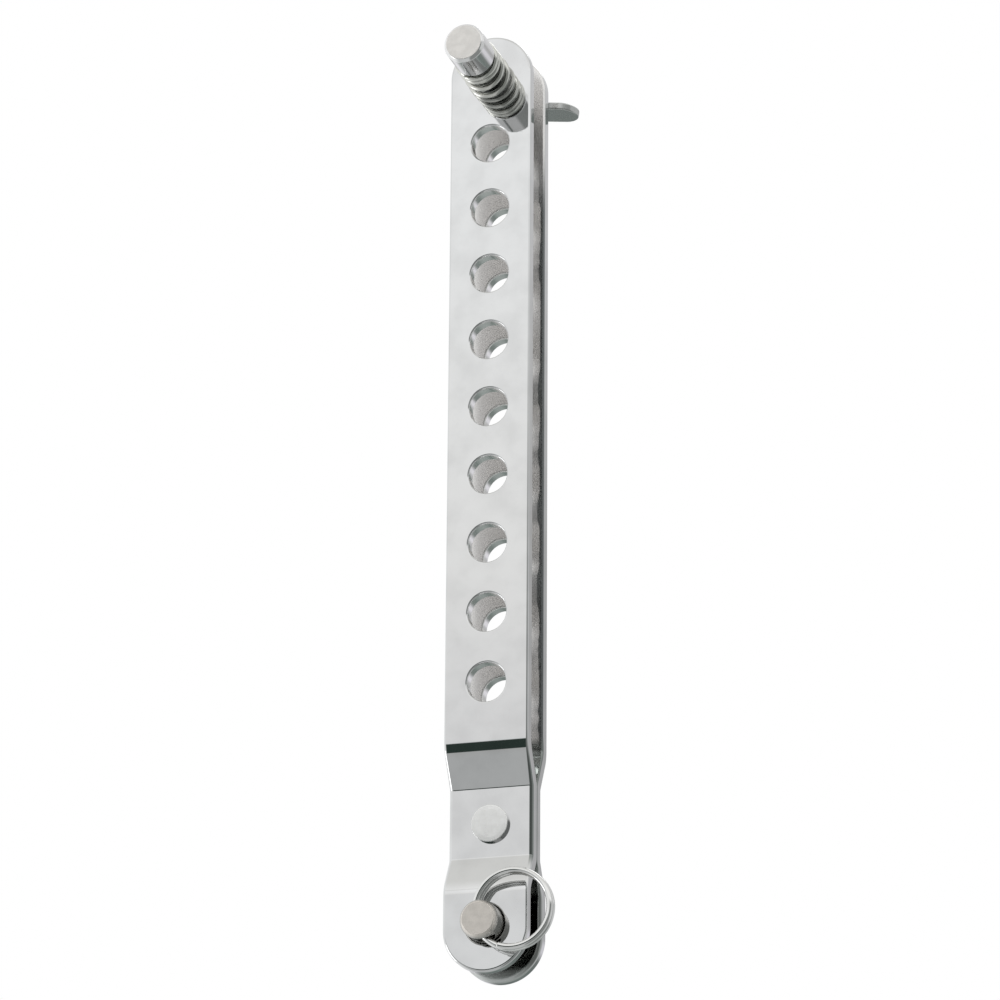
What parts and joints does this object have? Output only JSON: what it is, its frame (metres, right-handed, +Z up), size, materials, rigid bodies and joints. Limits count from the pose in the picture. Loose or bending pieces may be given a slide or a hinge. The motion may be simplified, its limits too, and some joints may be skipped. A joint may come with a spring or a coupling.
{
  "type": "shroud adjuster",
  "caption": "Stainless shroud adjuster of two perforated plates: a fork with a clevis pin below, and a sprung fast pin that fits any hole of the row above.",
  "frame": {"origin": "on the clevis pin's axis, midway between the fork's two lugs", "axes": "+Z up along the plates towards the shroud, +Y along the pins towards the back, +X across the plates' width"},
  "size_m": [0.0186, 0.031, 0.1533],
  "materials": {
    "polished_plate": "mirror-polished stainless steel",
    "rivet_steel": "pressed stainless steel, plain",
    "pin_steel": "turned stainless steel, smooth",
    "ring_wire": "bright drawn stainless wire",
    "spring_wire": "bright drawn stainless wire",
    "toggle_steel": "stamped stainless steel, tumbled"
  },
  "bodies": {
    "plates": {"front_plate": "polished_plate", "rear_plate": "polished_plate", "plate_rivet": "rivet_steel"},
    "spring": {"pin_spring": "spring_wire"},
    "fast_pin": {"fast_pin": "pin_steel", "toggle_rivet": "pin_steel"},
    "toggle": {"toggle": "toggle_steel"},
    "clevis_pin": {"clevis_pin": "pin_steel"},
    "split_ring": {"split_ring": "ring_wire"}
  },
  "joints": [
    {"name": "fast_pin_turn", "type": "hinge", "parent": "plates", "child": "spring", "pos_m": [0, 0, 0.1385], "axis": [0, 1, 0], "continuous": true},
    {"name": "fast_pin_push", "type": "slide", "parent": "spring", "child": "fast_pin", "axis": [0, 1, 0], "range_m": [0, 0.003], "stiffness_N_per_m": 2000, "springref_m": -0.003, "deforming": ["pin_spring"]},
    {"name": "toggle_swing", "type": "hinge", "parent": "fast_pin", "child": "toggle", "pos_m": [0, 0.00795, 0.1385], "axis": [0.1219, 0, 0.9925], "range_deg": [0, 180]},
    {"name": "clevis_pin_turn", "type": "hinge", "parent": "plates", "child": "clevis_pin", "pos_m": [0, 0, 0], "axis": [0, 1, 0], "continuous": true},
    {"name": "ring_swing", "type": "hinge", "parent": "clevis_pin", "child": "split_ring", "pos_m": [0, -0.0062, 0], "axis": [0.2756, 0, -0.9613], "range_deg": [0, 160]}
  ]
}
